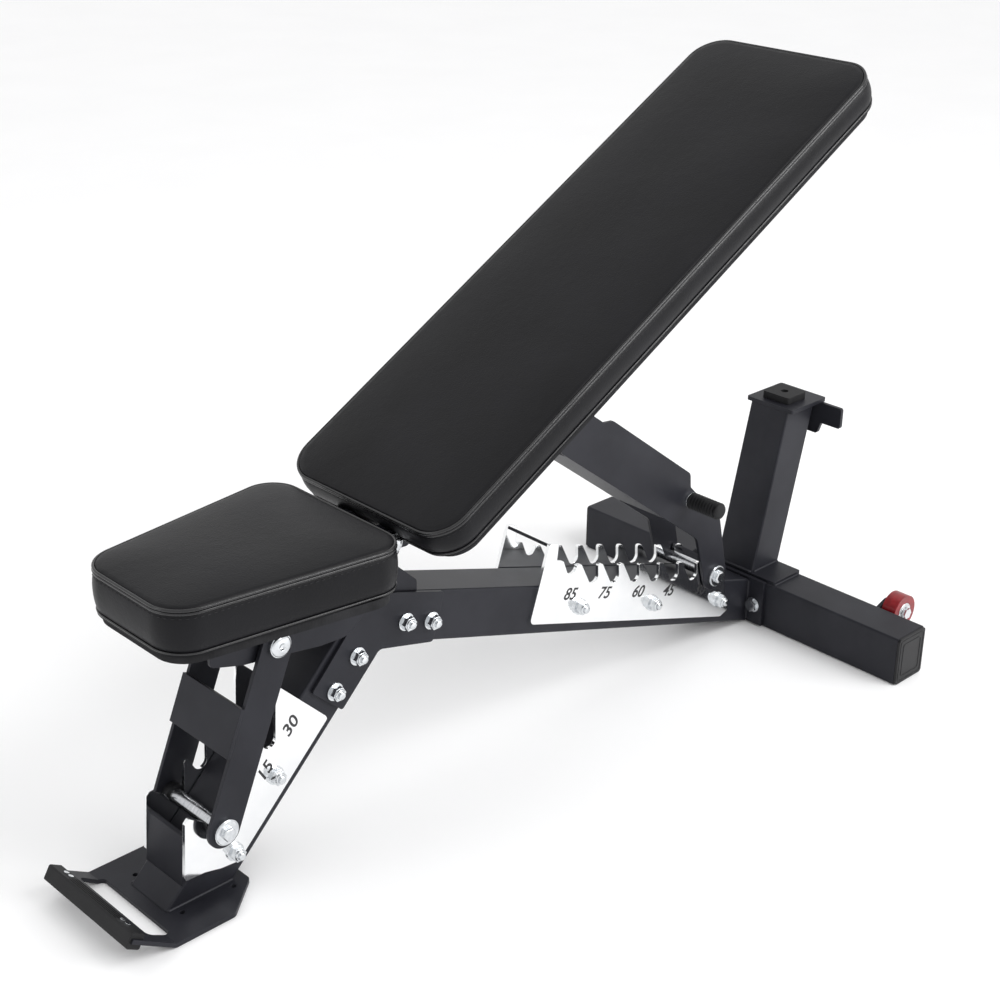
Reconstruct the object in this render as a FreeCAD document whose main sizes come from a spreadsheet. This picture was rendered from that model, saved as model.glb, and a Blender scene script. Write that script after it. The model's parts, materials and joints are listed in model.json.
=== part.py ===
"""Adjustable weight bench: ladder-type back and seat, foot plate, rear crossbar with wheels.

Millimetres. +X runs from the foot plate to the head end, -Y is the sitter's left, +Z is up.
Positions along the bench are first given from the toe (the front end) and then moved, so that
the row's origin is on the floor under the middle of the bench.
"""
import FreeCAD, Part
import math
import os

V = FreeCAD.Vector
Y_AXIS = V(0, 1, 0)

DIMENSIONS = {
    # frame of reference
    "origin_from_toe": 647.16,
    # square tubes
    "tube_width": 76.0,
    "tube_depth": 70.0,
    "tube_wall": 3.0,
    "tube_corner": 3.0,
    # spine and leg
    "spine_slope": 18.0,
    "spine_datum_height": 376.8,
    "leg_slope": 45.0,
    "leg_heel": 162.0,
    "plate_thickness": 5.0,
    "bolt_radius": 5.0,
    "bolt_hole_radius": 5.3,
    "nut_across_flats": 17.0,
    "nut_height": 9.0,
    "washer_radius": 12.0,
    "washer_thickness": 2.5,
    # hinge shared by the seat and the backrest
    "hinge_x": 418.0,
    "hinge_height": 386.0,
    "hinge_shaft_radius": 8.0,
    "hinge_bore_radius": 8.08,
    "ear_radius": 15.0,
    # backrest
    "back_angle": 29.5,
    "back_pad_length": 916.0,
    "back_pad_width": 300.0,
    "back_pad_thickness": 42.0,
    "pad_board_thickness": 12.0,
    "back_rail_width": 50.0,
    "back_rail_depth": 25.0,
    # seat
    "seat_front_x": 71.6,
    "seat_rear_x": 373.0,
    "seat_front_width": 179.2,
    "seat_rear_width": 278.6,
    "seat_board_bottom": 356.0,
    "seat_pad_thickness": 55.0,
    # ladders and rollers
    "roller_radius": 9.5,
    "notch_radius": 9.8,
    "back_notch_pitch": 46.0,
    "back_ladder_first": 762.3,
    "back_ladder_offset": 83.3,
    "back_tooth_top": 102.0,
    "seat_ladder_first": 57.3,
    "seat_ladder_offset": 81.0,
    "seat_tooth_top": 104.0,
    # support arms
    "back_arm_half_width": 50.0,
    "seat_arm_half_width": 59.0,
    "seat_arm_width": 46.0,
    "grip_radius": 12.5,
    "grip_length": 55.0,
    # foot plate
    "foot_half_width": 94.0,
    "foot_thickness": 6.0,
    "foot_bend_angle": 31.0,
    "foot_hole_radius": 3.5,
    "foot_hole_spacing_x": 75.0,
    "foot_hole_spacing_y": 100.0,
    "cover_size": 20.0,
    "cover_length": 178.0,
    # crossbar
    "crossbar_front_x": 1164.0,
    "crossbar_depth": 66.0,
    "crossbar_height": 76.0,
    "crossbar_length": 624.6,
    "cap_thickness": 4.0,
    # post
    "post_lean": 13.0,
    "post_front_x": 1168.6,
    "post_width": 71.0,
    "post_depth": 66.0,
    "post_top": 334.0,
    # wheels
    "wheel_radius": 27.0,
    "wheel_width": 24.0,
    "tyre_thickness": 12.0,
    "wheel_x": 1264.0,
    "wheel_z": 63.0,
    "wheel_y": 244.0,
    "axle_radius": 5.0,
    "wheel_bore_radius": 5.06,
}
D = DIMENSIONS
SIDES = (("left", -1), ("right", 1))

doc = FreeCAD.newDocument("bench")
sheet = doc.addObject("Spreadsheet::Sheet", "dimensions")
for row, (alias, value) in enumerate(D.items(), start=1):
    sheet.set("A%d" % row, alias)
    sheet.set("B%d" % row, str(value))
    sheet.setAlias("B%d" % row, alias)
doc.recompute()

nodes = []


# ---------------------------------------------------------------- positions

def from_toe(x, z):
    """A side-view point given from the toe, in the row's frame."""
    return (x - D["origin_from_toe"], z)


def direction(angle):
    return (math.cos(math.radians(angle)), math.sin(math.radians(angle)))


def local_point(base, angle, along, up):
    """A point 'along' and 'up' (square to it) from a base, for an axis at an angle."""
    ax, az = direction(angle)
    return (base[0] + along * ax - up * az, base[1] + along * az + up * ax)


def spine_point(along, up):
    """up is measured from the spine tube's bottom face."""
    return local_point(from_toe(0, D["spine_datum_height"]), -D["spine_slope"], along, up)


def leg_point(along, up):
    """up is measured from the leg tube's rear face."""
    return local_point(from_toe(D["leg_heel"], 0), D["leg_slope"], along, up)


HINGE = from_toe(D["hinge_x"], D["hinge_height"])
HINGE_IN_BACK = (-12.6, 18.7)
BACK_DATUM = local_point(HINGE, D["back_angle"], -HINGE_IN_BACK[0], -HINGE_IN_BACK[1])
ARM_PIVOT_DROP = 35.0
ARM_PIVOT_ALONG = 275.9
ARM_SLOPE = -37.0
SEAT_PIVOT = from_toe(236.0, 317.0)


def back_point(along, up):
    """along the backrest from the pad's lower end, up from the pad's underside."""
    return local_point(BACK_DATUM, D["back_angle"], along, up)


ARM_PIVOT = back_point(ARM_PIVOT_ALONG, -ARM_PIVOT_DROP)
BACK_NOTCHES = [D["back_ladder_first"] + D["back_notch_pitch"] * i for i in range(8)]
BACK_ROLLER = spine_point(BACK_NOTCHES[-1], D["back_ladder_offset"])
SEAT_ROLLER = leg_point(D["seat_ladder_first"], D["seat_ladder_offset"])


def arm_point(along, up):
    """along the backrest's support arm from its pivot, up square to it."""
    return local_point(ARM_PIVOT, ARM_SLOPE, along, up)


def rotated_about(centre, point, angle):
    turn = math.radians(angle)
    dx = point[0] - centre[0]
    dz = point[1] - centre[1]
    return (centre[0] + dx * math.cos(turn) - dz * math.sin(turn),
            centre[1] + dx * math.sin(turn) + dz * math.cos(turn))


def seat_notch_along(tilt):
    """Where along the leg the seat's roller seats when the seat is tilted up by 'tilt'."""
    pivot = rotated_about(HINGE, SEAT_PIVOT, -tilt)
    arm = math.dist(SEAT_PIVOT, SEAT_ROLLER)
    start = leg_point(0, D["seat_ladder_offset"])
    ax, az = direction(D["leg_slope"])
    dx = start[0] - pivot[0]
    dz = start[1] - pivot[1]
    half_b = dx * ax + dz * az
    constant = dx * dx + dz * dz - arm * arm
    return -half_b - math.sqrt(half_b * half_b - constant)


SEAT_NOTCHES = [seat_notch_along(tilt) for tilt in (0, 15, 30)]


# ---------------------------------------------------------------- document helpers

def finish(obj, label):
    """Name a finished sub-part and put it on the export list."""
    obj.Label = label
    nodes.append(obj)
    return obj


def placed(obj, x, y, z, axis=Y_AXIS, angle=0.0):
    obj.Placement = FreeCAD.Placement(V(x, y, z), FreeCAD.Rotation(axis, angle))
    return obj


def loop_geometry(points):
    """Lines and tangent arcs round a closed loop; a point is (x, y) or (x, y, radius)."""
    count = len(points)
    corners = []
    for index, point in enumerate(points):
        here = V(point[0], point[1], 0)
        radius = point[2] if len(point) > 2 else 0
        if radius <= 0:
            corners.append((here, here, None))
            continue
        before = V(points[index - 1][0], points[index - 1][1], 0)
        after = V(points[(index + 1) % count][0], points[(index + 1) % count][1], 0)
        back = (before - here).normalize()
        ahead = (after - here).normalize()
        half = math.acos(max(-1, min(1, back.dot(ahead)))) / 2
        reach = radius / math.tan(half)
        bisector = (back + ahead).normalize()
        centre = here + bisector * (radius / math.sin(half))
        middle = centre - bisector * radius
        corners.append((here + back * reach, here + ahead * reach, middle))
    shapes = []
    for index, (entry, leave, middle) in enumerate(corners):
        if middle is not None:
            shapes.append(Part.Arc(entry, middle, leave))
        start_next = corners[(index + 1) % count][0]
        if (start_next - leave).Length > 1e-4:
            shapes.append(Part.LineSegment(leave, start_next))
    return shapes


def origin_plane(body, role):
    return next(f for f in body.Origin.OriginFeatures if f.Role == role)


def padded_body(name, role, loops, circles, length, offset="0"):
    """A Body with one sketch on an origin plane, padded by an expression or a number."""
    body = doc.addObject("PartDesign::Body", name + "_body")
    sketch = body.newObject("Sketcher::SketchObject", name + "_sketch")
    sketch.AttachmentSupport = (origin_plane(body, role), [""])
    sketch.MapMode = "FlatFace"
    sketch.setExpression("AttachmentOffset.Base.z", offset)
    for loop in loops:
        sketch.addGeometry(loop_geometry(loop), False)
    for x, y, radius in circles:
        sketch.addGeometry(Part.Circle(V(x, y, 0), V(0, 0, 1), radius), False)
    pad = body.newObject("PartDesign::Pad", name + "_pad")
    pad.Profile = sketch
    if isinstance(length, str):
        pad.setExpression("Length", length)
    else:
        pad.Length = length
    return body


def side_plate(name, outline, circles, thickness, outer_face, side, holes=()):
    """A plate seen from the side: its outer face stands 'outer_face' from the mid-plane."""
    if side < 0:
        offset = "(%s) - (%s)" % (outer_face, thickness)
    else:
        offset = "-(%s)" % outer_face
    return padded_body(name, "XZ_Plane", [outline] + list(holes), circles, thickness, offset)


def centred_plate(name, outline, circles, width, holes=()):
    """A piece seen from the side and spread evenly about the mid-plane."""
    return padded_body(name, "XZ_Plane", [outline] + list(holes), circles, width,
                       "-(%s) / 2" % width)


def plan_plate(name, outline, circles, thickness, bottom, holes=()):
    return padded_body(name, "XY_Plane", [outline] + list(holes), circles, thickness, bottom)


def rectangle(half_u, half_v, radius):
    return [(-half_u, -half_v, radius), (half_u, -half_v, radius),
            (half_u, half_v, radius), (-half_u, half_v, radius)]


def hollow_section(width, depth):
    wall = D["tube_wall"]
    outer = D["tube_corner"]
    return [rectangle(width / 2, depth / 2, outer),
            rectangle(width / 2 - wall, depth / 2 - wall, outer - wall)]


def cylinder_across(name, centre, low_y, high_y, radius, length=None):
    """A cylinder along Y; radius is a sheet expression."""
    obj = doc.addObject("Part::Cylinder", name)
    obj.setExpression("Radius", radius)
    if length is None:
        obj.Height = high_y - low_y
    else:
        obj.setExpression("Height", length)
    return placed(obj, centre[0], high_y, centre[1], V(1, 0, 0), 90)


def hexagon_across(name, centre, low_y, height, flats):
    obj = doc.addObject("Part::Prism", name)
    obj.Polygon = 6
    obj.setExpression("Circumradius", "(%s) / 1.7320508" % flats)
    obj.setExpression("Height", height)
    doc.recompute()
    return placed(obj, centre[0], low_y + float(obj.Height), centre[1], V(1, 0, 0), 90)


def fused(name, pieces):
    if len(pieces) == 1:
        return pieces[0]
    obj = doc.addObject("Part::MultiFuse", name)
    obj.Shapes = pieces
    return obj


def grouped(name, pieces):
    """Separate solids that share one node."""
    obj = doc.addObject("Part::Compound", name)
    obj.Links = pieces
    return obj


def cut(name, base, tools):
    obj = doc.addObject("Part::Cut", name)
    obj.Base = base
    obj.Tool = fused(name + "_tools", tools)
    return obj


def common_of(name, base, tool):
    obj = doc.addObject("Part::Common", name)
    obj.Base = base
    obj.Tool = tool
    return obj


def box(name, corner, size):
    """A block; a size that is text is a sheet expression."""
    obj = doc.addObject("Part::Box", name)
    for prop, value in zip(("Length", "Width", "Height"), size):
        if isinstance(value, str):
            obj.setExpression(prop, value)
        else:
            setattr(obj, prop, value)
    return placed(obj, *corner)


def half_space(name, point, angle, size=400.0):
    """A big block whose one face passes through a side-view point, at an angle."""
    obj = box(name, (0, 0, 0), (size, size, size))
    ax, az = direction(angle)
    obj.Placement = FreeCAD.Placement(
        V(point[0] - ax * size / 2, -size / 2, point[1] - az * size / 2),
        FreeCAD.Rotation(Y_AXIS, -angle))
    return obj


# ---------------------------------------------------------------- fixed frame

FRAME_BOLTS = {
    "knee": [from_toe(446, 264), from_toe(489, 250), from_toe(366, 245), from_toe(329, 209)],
    "back_ladder": [spine_point(s, 40) for s in (793, 957, 1121)],
    "seat_ladder": [leg_point(142, 41), leg_point(39, 30)],
}
SPINE_BOLTS = FRAME_BOLTS["knee"][:2] + FRAME_BOLTS["back_ladder"]
LEG_BOLTS = FRAME_BOLTS["knee"][2:] + FRAME_BOLTS["seat_ladder"]
KNEE_INNER = from_toe(406.7, 244.7)
MITRE_ANGLE = 90.0 + (D["leg_slope"] - D["spine_slope"]) / 2
REAR_FLANGE_X = D["crossbar_front_x"] - 6.0
SECTION_MIDDLE = D["tube_depth"] / 2


def bolt_holes(name, centres):
    holes = []
    for index, centre in enumerate(centres):
        holes.append(cylinder_across("%s_hole_%d" % (name, index), centre, -60, 60,
                                     "dimensions.bolt_hole_radius"))
    return holes


def sloping_tube(name, start, angle, length):
    """A tube whose axis starts at a side-view point and runs up at an angle."""
    body = padded_body(name, "YZ_Plane", hollow_section(D["tube_width"], D["tube_depth"]), [],
                       length)
    return placed(body, start[0], 0, start[1], Y_AXIS, -angle)


def build_spine_tube():
    start = spine_point(350, SECTION_MIDDLE)
    tube = sloping_tube("spine", start, -D["spine_slope"], 900.0)
    mitre = half_space("spine_mitre", KNEE_INNER, MITRE_ANGLE, 500.0)
    rear = box("spine_rear_trim", (REAR_FLANGE_X - D["origin_from_toe"], -60, -200),
               (300, 120, 500))
    tools = [mitre, rear] + bolt_holes("spine", SPINE_BOLTS)
    finish(cut("spine_cut", tube, tools), "spine_tube")


def build_leg_tube():
    start = leg_point(-80, SECTION_MIDDLE)
    tube = sloping_tube("leg", start, D["leg_slope"], 600.0)
    mitre = half_space("leg_mitre", KNEE_INNER, MITRE_ANGLE - 180.0, 500.0)
    foot = box("leg_foot_trim", (-900, -60, D["foot_thickness"] - 300), (600, 120, 300))
    tools = [mitre, foot] + bolt_holes("leg", LEG_BOLTS)
    finish(cut("leg_cut", tube, tools), "leg_tube")


def knee_outline():
    corners = [(295, 219, 4), (351, 279, 14), (388, 318, 8), (432, 310, 8), (513, 283, 4),
               (493, 217, 6), (403, 240, 10), (341, 177, 4)]
    return [from_toe(x, z) + (radius,) for x, z, radius in corners]


def around_hinge(reach):
    """The two upper corners of a round end about the hinge, right one first."""
    return [(HINGE[0] + reach, HINGE[1] + reach, reach - 0.1),
            (HINGE[0] - reach, HINGE[1] + reach, reach - 0.1)]


def ear_outline():
    """An upright lug standing on the spine's top face, round at the hinge."""
    reach = D["ear_radius"]
    spine_top = D["tube_depth"]
    base = [spine_point(384.9, spine_top), spine_point(471.5, spine_top)]
    neck = [from_toe(470, 313) + (6,), (HINGE[0] + reach, HINGE[1] - 38, 20)]
    shoulder = [(HINGE[0] - reach, HINGE[1] - 40, 12)]
    return base + neck + around_hinge(reach) + shoulder


def notch_corners(centre, offset, top, first_angle, second_angle):
    """A round-bottomed notch: the top of its first flank, its floor, its second flank."""
    radius = D["notch_radius"]
    ends = []
    for angle, turn in ((first_angle, 90), (second_angle, -90)):
        nx, nz = direction(angle + turn)
        climb = (top - offset - nz * radius) / math.sin(math.radians(angle))
        ends.append((centre + nx * radius + climb * direction(angle)[0], top, 3))
    mx, mz = direction((first_angle + second_angle) / 2)
    depth = radius / math.sin(math.radians((first_angle - second_angle) / 2))
    floor = (centre - depth * mx, offset - depth * mz, radius)
    return [ends[0], floor, ends[1]]


def back_ladder_outline():
    """Eight notches leaning forward along the spine, with a tall guard in front of them."""
    top = D["back_tooth_top"]
    corners = [(1138, 12, 6), (699, 16, 8), (699, 132, 3), (717, 132, 3), (722, 107, 4)]
    for centre in BACK_NOTCHES:
        corners += notch_corners(centre, D["back_ladder_offset"], top, 135.0, 112.0)
    corners[5] = (736, 107, 3)
    corners += [(1106, top, 5), (1140, 40, 12), (1154, 24, 6)]
    return [spine_point(a, b) + (radius,) for a, b, radius in corners]


def seat_ladder_outline():
    """Three notches leaning up the leg, with a tall horn in front of the lowest one."""
    top = D["seat_tooth_top"]
    corners = [(235, 19, 4), (233, 14, 3), (31, 14, 8), (14, 34, 10), (1, 55, 10), (-19, 76, 5),
               (41, 127, 3), (49, 127, 3)]
    for centre in SEAT_NOTCHES:
        corners += notch_corners(centre, D["seat_ladder_offset"], top, 75.0, 42.0)
    corners += [(235, 119, 4)]
    return [leg_point(a, b) + (radius,) for a, b, radius in corners]


def plate_pair(name, outline, centres, outer_face):
    hole = D["bolt_hole_radius"]
    circles = [(x, z, hole) for x, z in centres]
    for side_name, side in SIDES:
        body = side_plate("%s_%s" % (name, side_name), outline, circles,
                          "dimensions.plate_thickness", outer_face, side)
        finish(body, "%s_%s" % (name, side_name))


def build_frame_plates():
    outer = "dimensions.tube_width / 2 + dimensions.plate_thickness"
    plate_pair("knee_plate", knee_outline(), FRAME_BOLTS["knee"], outer)
    plate_pair("back_ladder", back_ladder_outline(), FRAME_BOLTS["back_ladder"], outer)
    plate_pair("seat_ladder", seat_ladder_outline(), FRAME_BOLTS["seat_ladder"], outer)
    bore = [HINGE + (D["hinge_shaft_radius"],)]
    ears = [side_plate("hinge_ear_" + side_name, ear_outline(), bore,
                       "dimensions.plate_thickness", "dimensions.tube_width / 2", side)
            for side_name, side in SIDES]
    finish(grouped("hinge_ear_group", ears), "hinge_ears")


def build_tie_rod():
    """A thin rod between the tops of the back ladders' guards."""
    inner = D["tube_width"] / 2
    rod = cylinder_across("tie_rod", spine_point(703, 128), -inner, inner, "2.2")
    finish(rod, "ladder_tie_rod")


def build_frame_fasteners():
    """Through bolts with their heads on the right and lock nuts on the left."""
    face = D["tube_width"] / 2 + D["plate_thickness"]
    washer = D["washer_thickness"]
    bolts, washers, nuts = [], [], []
    centres = [c for group in FRAME_BOLTS.values() for c in group]
    for index, centre in enumerate(centres):
        tag = "frame_%d" % index
        shank = cylinder_across(tag + "_shank", centre, -face - washer - 14, face + washer,
                                "dimensions.bolt_radius")
        head = hexagon_across(tag + "_head", centre, face + washer, "6.5",
                              "dimensions.nut_across_flats")
        bolts.append(fused(tag + "_bolt", [shank, head]))
        for side_name, low in (("left", -face - washer), ("right", face)):
            disc = cylinder_across("%s_disc_%s" % (tag, side_name), centre, low, low + washer,
                                   "dimensions.washer_radius")
            bore = cylinder_across("%s_bore_%s" % (tag, side_name), centre, low - 1,
                                   low + washer + 1, "dimensions.bolt_radius")
            washers.append(cut("%s_washer_%s" % (tag, side_name), disc, [bore]))
        nut = hexagon_across(tag + "_nut_body", centre, -face - washer - D["nut_height"],
                             "dimensions.nut_height", "dimensions.nut_across_flats")
        thread = cylinder_across(tag + "_thread", centre, -face - 20, -face + 1,
                                 "dimensions.bolt_radius")
        nuts.append(cut(tag + "_nut", nut, [thread]))
    finish(grouped("frame_bolt_group", bolts), "frame_bolts")
    finish(grouped("frame_washer_group", washers), "frame_washers")
    finish(grouped("frame_nut_group", nuts), "frame_nuts")


# ---------------------------------------------------------------- foot plate

FOOT_FOLD = from_toe(45.0, 0)
FOOT_REAR = from_toe(185.0, 0)[0]
RAMP_LENGTH = 66.0
COVER_ALONG = 60.0
HOLE_CENTRE_X = from_toe(121.5, 0)[0]


def ramp_point(along, up):
    return local_point((FOOT_FOLD[0], FOOT_FOLD[1]), 180.0 - D["foot_bend_angle"], along, -up)


def build_foot_plate():
    """A folded plate: flat under the leg, bent up at the front, with a hand slot."""
    thick = D["foot_thickness"]
    outline = [(FOOT_REAR, 0), (FOOT_REAR, thick), (FOOT_FOLD[0], thick, 4),
               ramp_point(RAMP_LENGTH, thick), ramp_point(RAMP_LENGTH, 0),
               (FOOT_FOLD[0], 0, 10)]
    folded = centred_plate("foot_fold", outline, [], "dimensions.foot_half_width * 2")
    half = D["foot_half_width"]
    front = ramp_point(RAMP_LENGTH, thick)[0] - 5
    right_side = [(from_toe(130, 0)[0], half, 10), (from_toe(183, 0)[0], 50, 6)]
    left_side = [(x, -y, radius) for x, y, radius in reversed(right_side)]
    plan = ([(front, -half + 3), (front, half - 3), (FOOT_FOLD[0], half, 20)] + right_side
            + left_side + [(FOOT_FOLD[0], -half, 20)])
    slot_front = from_toe(20, 0)[0]
    slot_rear = from_toe(52, 0)[0]
    slot = [(slot_front, -75, 7), (slot_rear, -71, 7), (slot_rear, 71, 7), (slot_front, 75, 7)]
    spread_x = D["foot_hole_spacing_x"] / 2
    spread_y = D["foot_hole_spacing_y"] / 2
    circles = [(HOLE_CENTRE_X + sx * spread_x, sy * spread_y, D["foot_hole_radius"])
               for sx in (-1, 1) for sy in (-1, 1)]
    trim = plan_plate("foot_plan", plan, circles, 80.0, "-10", holes=[slot])
    finish(common_of("foot_common", folded, trim), "foot_plate")


def build_foot_cover():
    """A square rubber cover over the front edge of the foot plate, and its screws."""
    half = D["cover_size"] / 2
    thick = D["foot_thickness"]
    middle = thick / 2
    section = [ramp_point(COVER_ALONG + a, middle + b) + (2.5,)
               for a, b in ((-half, -half), (-half, half), (half, half), (half, -half))]
    block = centred_plate("cover_block", section, [], "dimensions.cover_length")
    groove = [ramp_point(a, b) for a, b in ((COVER_ALONG - 20, 0), (COVER_ALONG - 20, thick),
                                            (RAMP_LENGTH, thick), (RAMP_LENGTH, 0))]
    tool = centred_plate("cover_groove", groove, [], "dimensions.foot_half_width * 2 + 20")
    finish(cut("cover_cut", block, [tool]), "foot_handle_cover")
    screws = []
    for index, y in enumerate((-66, -56, 56, 66)):
        head = doc.addObject("Part::Cylinder", "cover_screw_%d" % index)
        head.Radius = 3.5
        head.Height = 1.6
        spot = ramp_point(COVER_ALONG, middle + half)
        placed(head, spot[0], y, spot[1], Y_AXIS, D["foot_bend_angle"])
        screws.append(head)
    finish(grouped("cover_screw_group", screws), "foot_handle_screws")


def build_toe_plate():
    """An upright stop plate on the leg's toe, between the seat ladders."""
    top = from_toe(102, 97)
    leg_top = D["tube_depth"]
    outline = [leg_point(-26.1, leg_top), top, (top[0] + 6, top[1]), leg_point(-17.5, leg_top)]
    body = centred_plate("toe", outline, [], "dimensions.tube_width")
    finish(body, "toe_plate")


# ---------------------------------------------------------------- crossbar, post, wheels

BAR_X = D["crossbar_front_x"] - D["origin_from_toe"]
BAR_MIDDLE_X = BAR_X + D["crossbar_depth"] / 2
POST_X = D["post_front_x"] - D["origin_from_toe"]
POST_BASE = D["crossbar_height"] + 5.0


def build_crossbar():
    section = hollow_section(D["crossbar_depth"], D["crossbar_height"])
    bar = padded_body("crossbar", "XZ_Plane", section, [], "dimensions.crossbar_length",
                      "-dimensions.crossbar_length / 2")
    placed(bar, BAR_MIDDLE_X, 0, D["crossbar_height"] / 2)
    finish(bar, "crossbar_tube")
    cap_section = rectangle(D["crossbar_depth"] / 2 - 0.5, D["crossbar_height"] / 2 - 0.5, 5)
    outer = "dimensions.crossbar_length / 2 + dimensions.cap_thickness"
    caps = []
    for side_name, side in SIDES:
        cap = side_plate("cap_" + side_name, cap_section, [], "dimensions.cap_thickness", outer,
                         side)
        caps.append(placed(cap, BAR_MIDDLE_X, 0, D["crossbar_height"] / 2))
    finish(grouped("cap_group", caps), "crossbar_caps")


def build_rear_flange():
    flange_x = REAR_FLANGE_X - D["origin_from_toe"]
    plate = box("flange_block", (flange_x, -68, 3), (6, 136, 75))
    finish(plate, "rear_flange_plate")
    bolts = []
    for index, (y, z) in enumerate(((-51, 35), (51, 35))):
        washer = doc.addObject("Part::Cylinder", "flange_washer_%d" % index)
        washer.setExpression("Radius", "dimensions.washer_radius")
        washer.setExpression("Height", "dimensions.washer_thickness")
        placed(washer, flange_x - D["washer_thickness"], y, z, Y_AXIS, 90)
        head = doc.addObject("Part::Prism", "flange_head_%d" % index)
        head.Polygon = 6
        head.setExpression("Circumradius", "dimensions.nut_across_flats / 1.7320508")
        head.Height = 6.5
        placed(head, flange_x - D["washer_thickness"] - 6.5, y, z, Y_AXIS, 90)
        bolts.append(fused("flange_bolt_%d" % index, [washer, head]))
    finish(grouped("flange_bolt_group", bolts), "rear_flange_bolts")


def build_post():
    lean = D["post_lean"]
    rear = BAR_X + D["crossbar_depth"] + 1
    base = plan_plate("post_base", [(POST_X - 2, -82, 3), (rear, -82, 3), (rear, 82, 3),
                                    (POST_X - 2, 82, 3)], [], "5", "dimensions.crossbar_height")
    finish(base, "post_base_plate")
    depth = D["post_depth"] * math.cos(math.radians(lean))
    tube = padded_body("post", "XY_Plane", hollow_section(depth, D["post_width"]), [], 340.0)
    start_x = POST_X + D["post_depth"] / 2 - 20 * math.tan(math.radians(lean))
    placed(tube, start_x, 0, POST_BASE - 20, Y_AXIS, lean)
    low = box("post_low_trim", (300, -60, POST_BASE - 200), (500, 120, 200))
    high = box("post_high_trim", (300, -60, D["post_top"]), (500, 120, 200))
    finish(cut("post_cut", tube, [low, high]), "post_tube")
    cap_front = from_toe(1226, 0)[0]
    cap_rear = from_toe(1312, 0)[0]
    cap = plan_plate("post_cap", [(cap_front, -44, 4), (cap_rear, -44, 4), (cap_rear, 44, 4),
                                  (cap_front, 44, 4)], [], "6", "dimensions.post_top")
    finish(cap, "post_cap_plate")
    bumper_x = from_toe(1240, 0)[0]
    bumper = plan_plate("bumper", [(bumper_x, -25, 4), (bumper_x + 45, -25, 4),
                                   (bumper_x + 45, 25, 4), (bumper_x, 25, 4)],
                        [(bumper_x + 22.5, 0, 6)], "11", "dimensions.post_top + 6")
    finish(bumper, "post_bumper")
    screw = doc.addObject("Part::Cylinder", "bumper_screw_body")
    screw.Radius = 5.5
    screw.Height = 6
    placed(screw, bumper_x + 22.5, 0, D["post_top"] + 6)
    finish(screw, "bumper_screw")


def build_storage_foot():
    """An L-shaped plate under the post's cap, with one wing on the handle's side."""
    front = from_toe(1300, 0)[0]
    top = D["post_top"]
    shoulder = top - 33
    toe = top - 52
    outline = [(-82, shoulder, 4), (-46, shoulder, 3), (-40, toe, 5), (40, toe, 5),
               (40, top, 4), (-82, top, 4)]
    body = padded_body("storage_foot_blank", "YZ_Plane", [outline], [], 6.0)
    placed(body, front, 0, 0)
    finish(body, "storage_foot")


def build_wheels():
    """Two roller wheels behind the crossbar, each on one bracket at its inner side."""
    rear_x = BAR_X + D["crossbar_depth"]
    wheel_x = D["wheel_x"] - D["origin_from_toe"]
    centre = (wheel_x, D["wheel_z"])
    half = D["wheel_width"] / 2
    bracket = [(rear_x, 32, 3), (wheel_x - 4, 40, 10), (wheel_x + 15, 50, 12),
               (wheel_x + 13, 78, 12), (wheel_x - 12, 80, 10), (rear_x, 72, 3)]
    hub_radius = "dimensions.wheel_radius - dimensions.tyre_thickness"
    axles, ears = [], []
    for side_name, side in SIDES:
        middle = side * D["wheel_y"]
        inner_face = D["wheel_y"] - half - 1
        ears.append(side_plate("bracket_" + side_name, bracket, [centre + (D["axle_radius"],)],
                               "dimensions.plate_thickness", "%f" % inner_face, side))
        tyre = cylinder_across("tyre_blank_" + side_name, centre, middle - half,
                               middle + half, "dimensions.wheel_radius")
        tyre_hole = cylinder_across("tyre_hole_" + side_name, centre, middle - half - 1,
                                    middle + half + 1, hub_radius)
        finish(cut("tyre_" + side_name, tyre, [tyre_hole]), "wheel_tyre_" + side_name)
        hub = cylinder_across("hub_blank_" + side_name, centre, middle - half, middle + half,
                              hub_radius)
        bore = cylinder_across("hub_bore_" + side_name, centre, middle - half - 1,
                               middle + half + 1, "dimensions.wheel_bore_radius")
        finish(cut("hub_" + side_name, hub, [bore]), "wheel_hub_" + side_name)
        inner = side * (inner_face - 11)
        outer = side * (D["wheel_y"] + half + 2)
        low, high = sorted((inner, outer))
        shank = cylinder_across("axle_shank_" + side_name, centre, low, high,
                                "dimensions.axle_radius")
        ends = []
        for index, near in enumerate((inner_face - 11, D["wheel_y"] + half + 1)):
            start = min(side * near, side * (near + 6))
            ends.append(hexagon_across("axle_end_%s_%d" % (side_name, index), centre, start,
                                       "6", "15"))
        axles.append(fused("axle_" + side_name, [shank] + ends))
    finish(grouped("axle_group", axles), "wheel_axles")
    finish(grouped("bracket_group", ears), "wheel_brackets")


# ---------------------------------------------------------------- hinge

def build_hinge_shaft():
    reach = 51.0
    shaft = cylinder_across("hinge_shaft_body", HINGE, -reach, reach,
                            "dimensions.hinge_shaft_radius")
    finish(shaft, "hinge_shaft")
    caps = []
    for side_name, low in (("left", -reach - 5), ("right", reach)):
        caps.append(cylinder_across("hinge_cap_" + side_name, HINGE, low, low + 5, "14"))
    finish(grouped("hinge_cap_group", caps), "hinge_cap_screws")


# ---------------------------------------------------------------- seat

def seat_plan(margin, radius_front, radius_rear):
    front = from_toe(D["seat_front_x"], 0)[0] + margin
    rear = from_toe(D["seat_rear_x"], 0)[0] - margin
    half_front = D["seat_front_width"] / 2 - margin
    half_rear = D["seat_rear_width"] / 2 - margin
    return [(front, -half_front, radius_front), (rear, -half_rear, radius_rear),
            (rear, half_rear, radius_rear), (front, half_front, radius_front)]


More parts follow.
